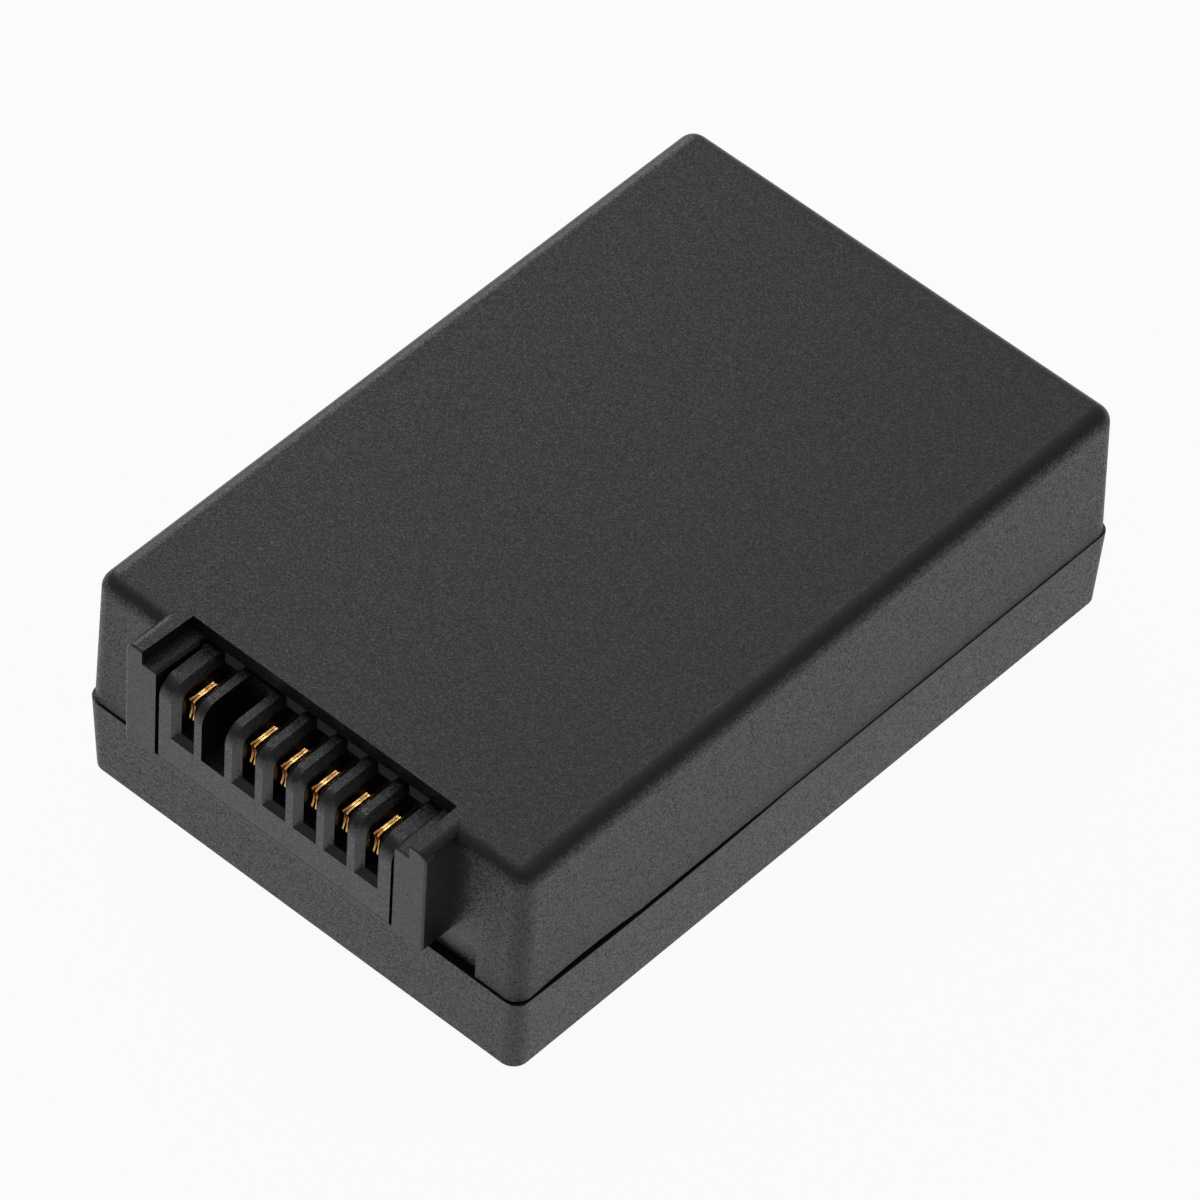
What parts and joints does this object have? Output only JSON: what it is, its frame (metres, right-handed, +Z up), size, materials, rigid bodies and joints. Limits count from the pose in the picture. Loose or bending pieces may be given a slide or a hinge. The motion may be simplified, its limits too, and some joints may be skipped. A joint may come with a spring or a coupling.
{
  "type": "barcode scanner battery",
  "caption": "Flat rechargeable battery pack for a handheld barcode scanner: split moulded case over round cells, with a keyed block of blade contacts between lugs at the front.",
  "frame": {"origin": "centre of the case's flat bottom face, the connector left out", "axes": "+X across the pack, +Y along it towards the plain end, with the connector at the -Y end, +Z up"},
  "size_m": [0.048, 0.076, 0.0233],
  "materials": {
    "case_plastic": "fine moulded grain",
    "connector_plastic": "smooth moulded, satin",
    "contact_gilt": "gilt plating",
    "circuit_board": "solder mask",
    "chip_resin": "moulded resin",
    "capacitor_ceramic": "fired ceramic",
    "cell_sleeve": "shrunk sleeve",
    "nickel": "plain nickel strip",
    "fibre": "pressed fibre",
    "foam": "closed-cell foam",
    "lead_insulation": "extruded insulation"
  },
  "bodies": {
    "root": {"upper_case": "case_plastic", "lower_case": "case_plastic", "connector_housing": "connector_plastic", "protection_board": "circuit_board", "protection_chip": "chip_resin", "gauge_chip": "chip_resin", "switch_transistor_left": "chip_resin", "switch_transistor_right": "chip_resin", "sense_resistor": "chip_resin", "thermistor": "chip_resin", "thermal_fuse": "nickel", "board_capacitors": "capacitor_ceramic", "cell_left": "cell_sleeve", "cell_right": "cell_sleeve", "cell_ring_left": "fibre", "cell_ring_right": "fibre", "positive_tab": "nickel", "negative_tab": "nickel", "series_strip": "nickel", "sense_lead": "lead_insulation", "front_insulator": "fibre", "rear_pad": "foam", "foam_pad_left": "foam", "foam_pad_right": "foam", "cell_tape_left": "foam", "cell_tape_right": "foam", "contact_1": "contact_gilt", "contact_2": "contact_gilt", "contact_3": "contact_gilt", "contact_4": "contact_gilt", "contact_5": "contact_gilt", "contact_6": "contact_gilt"}
  },
  "joints": []
}
